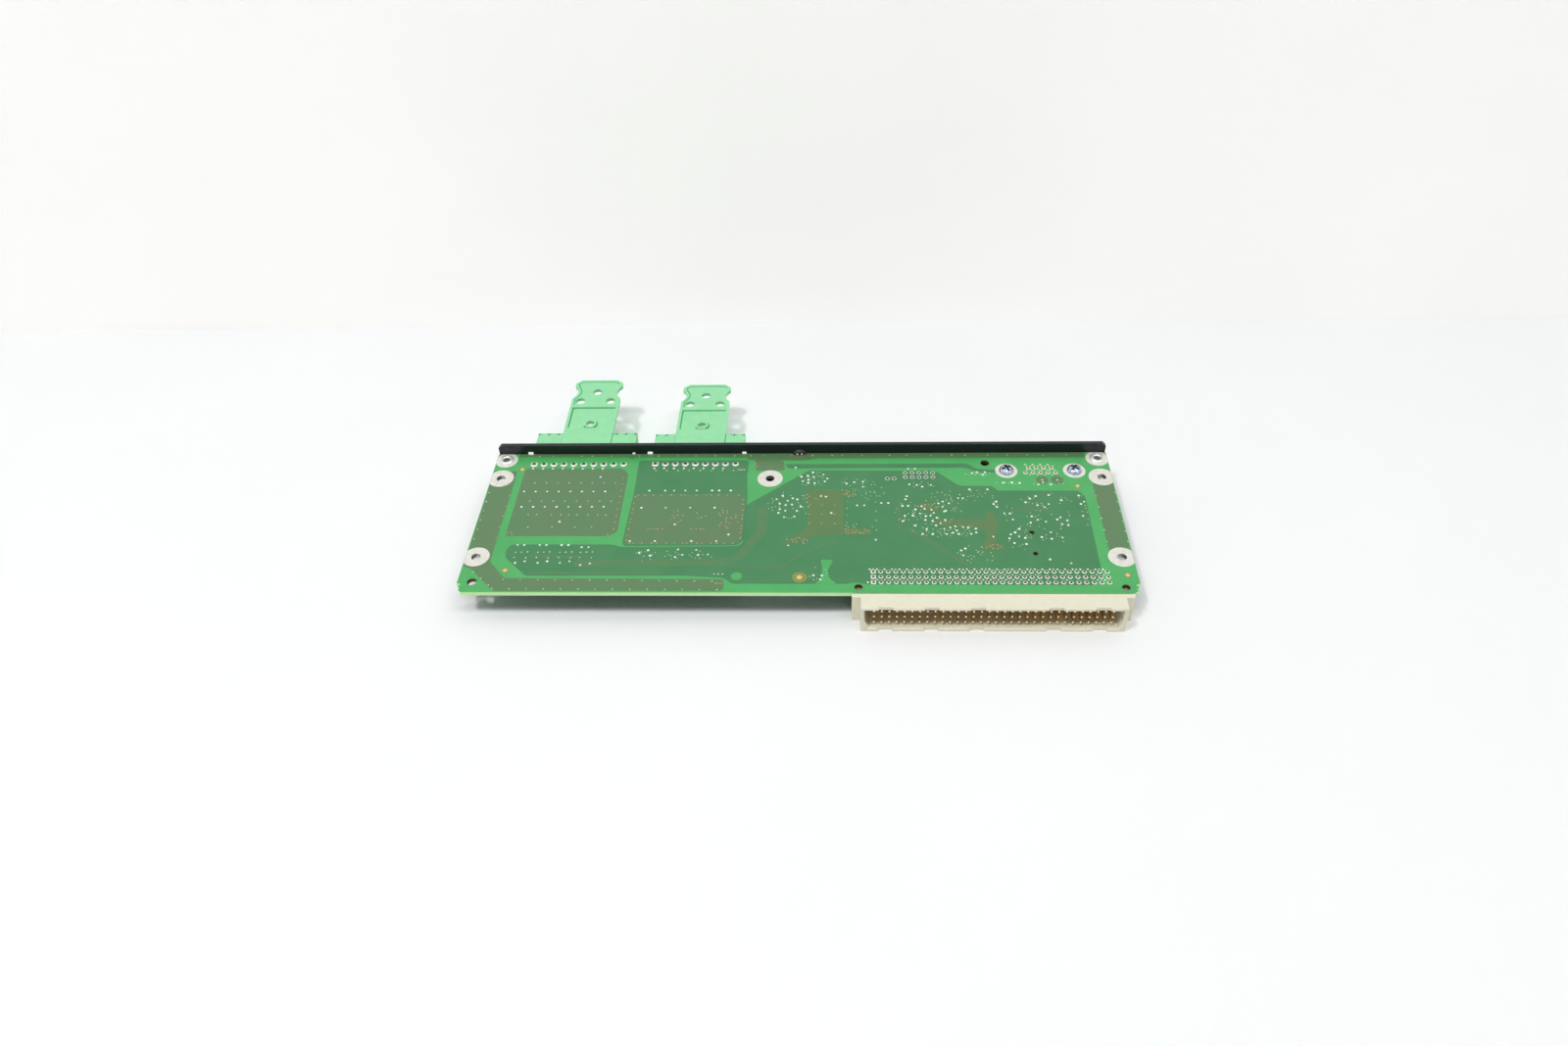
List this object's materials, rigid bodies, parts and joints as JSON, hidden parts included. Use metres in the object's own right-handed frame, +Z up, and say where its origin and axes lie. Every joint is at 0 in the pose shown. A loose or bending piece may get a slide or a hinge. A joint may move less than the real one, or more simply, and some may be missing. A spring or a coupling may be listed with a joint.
{
  "type": "encoder interface card",
  "caption": "Plug-in circuit card with a narrow front panel, a three-row backplane connector, a nine-way socket, and pluggable terminal blocks with strain relief plates.",
  "frame": {"origin": "middle of the front panel's lower edge, in the middle of the panel's thickness", "axes": "+X along the panel towards the nine-way connector, +Y out through the panel towards the terminal plugs, +Z up, out of the board's solder side"},
  "size_m": [0.231, 0.1315, 0.02],
  "materials": {
    "board": "glass-epoxy laminate with green solder mask",
    "panel": "black satin coat",
    "bracket_steel": "zinc plated sheet",
    "tinned": "tin plated",
    "screw_steel": "zinc plated",
    "beige_plastic": "glass-filled moulding",
    "gold": "gold plated",
    "green_plastic": "light green moulding",
    "black_plastic": "moulded compound",
    "lens": "tinted clear moulding",
    "tantalum": "moulded case",
    "can": "drawn can",
    "ferrite": null
  },
  "bodies": {
    "root": {"circuit_board": "board", "front_panel": "panel", "panel_bracket_left": "bracket_steel", "panel_bracket_right": "bracket_steel", "bracket_rivets": "tinned", "panel_screws": "screw_steel", "backplane_shell": "beige_plastic", "contacts_row_a": "gold", "contacts_row_b": "gold", "contacts_row_c": "gold", "terminal_header_10": "green_plastic", "terminal_header_9": "green_plastic", "header_pins_10": "tinned", "header_pins_9": "tinned", "terminal_plug_10": "green_plastic", "terminal_plug_9": "green_plastic", "wire_clamps_10": "tinned", "wire_clamps_9": "tinned", "clamp_screws_10": "screw_steel", "clamp_screws_9": "screw_steel", "strain_relief_10": "green_plastic", "strain_relief_9": "green_plastic", "dsub_shell": "tinned", "dsub_insulator": "black_plastic", "dsub_contacts": "gold", "dsub_brackets": "bracket_steel", "dsub_jack_screws": "screw_steel", "dsub_board_screws": "screw_steel", "indicator_holder": "black_plastic", "indicator_lens": "lens", "indicator_leads": "tinned", "logic_array": "black_plastic", "processor": "black_plastic", "memory_chips": "black_plastic", "line_drivers": "black_plastic", "isolation_couplers": "black_plastic", "line_receivers": "black_plastic", "tantalum_capacitors": "tantalum", "converter_module": "black_plastic", "oscillator": "tinned", "filter_capacitors": "can", "power_coils": "ferrite"}
  },
  "joints": []
}
